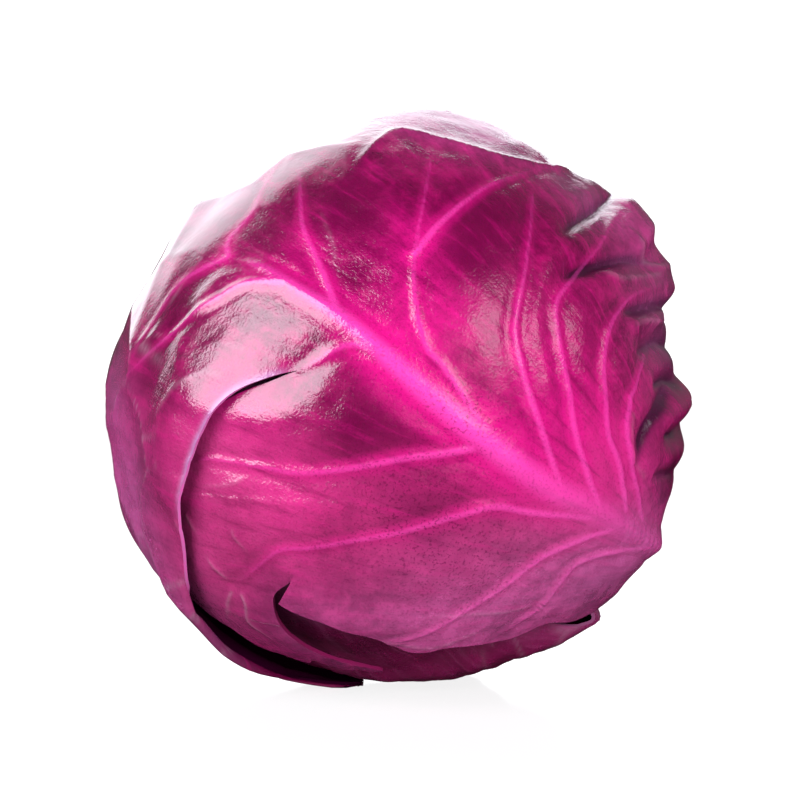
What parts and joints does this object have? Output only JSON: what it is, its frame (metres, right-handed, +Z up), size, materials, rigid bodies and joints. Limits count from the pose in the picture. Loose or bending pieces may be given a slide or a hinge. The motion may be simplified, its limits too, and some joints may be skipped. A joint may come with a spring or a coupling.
{
  "type": "cabbage head",
  "caption": "Round head of red cabbage lying on its side: a broad ribbed wrapper leaf with two tears and a ruffled edge, over further lapping leaves, a dense heart and a cut stalk.",
  "frame": {"origin": "on the surface it lies on, under the middle of its bounding box", "axes": "+Z up; +X towards the cut stalk, which points right, down and a little back; the broad front leaf faces -Y"},
  "size_m": [0.1739, 0.1676, 0.1691],
  "materials": {
    "leaf_front": "waxy leaf, glossy",
    "leaf_top_back": "waxy leaf, glossy",
    "leaf_low_back": "waxy leaf, satin",
    "leaf_under": "waxy leaf, satin with bloom",
    "heart": "waxy leaf, satin",
    "stalk": "cut plant stem, matte"
  },
  "bodies": {
    "root": {"leaf_front": "leaf_front", "leaf_top_back": "leaf_top_back", "leaf_low_back": "leaf_low_back", "leaf_under": "leaf_under", "heart": "heart", "stalk": "stalk"}
  },
  "joints": []
}
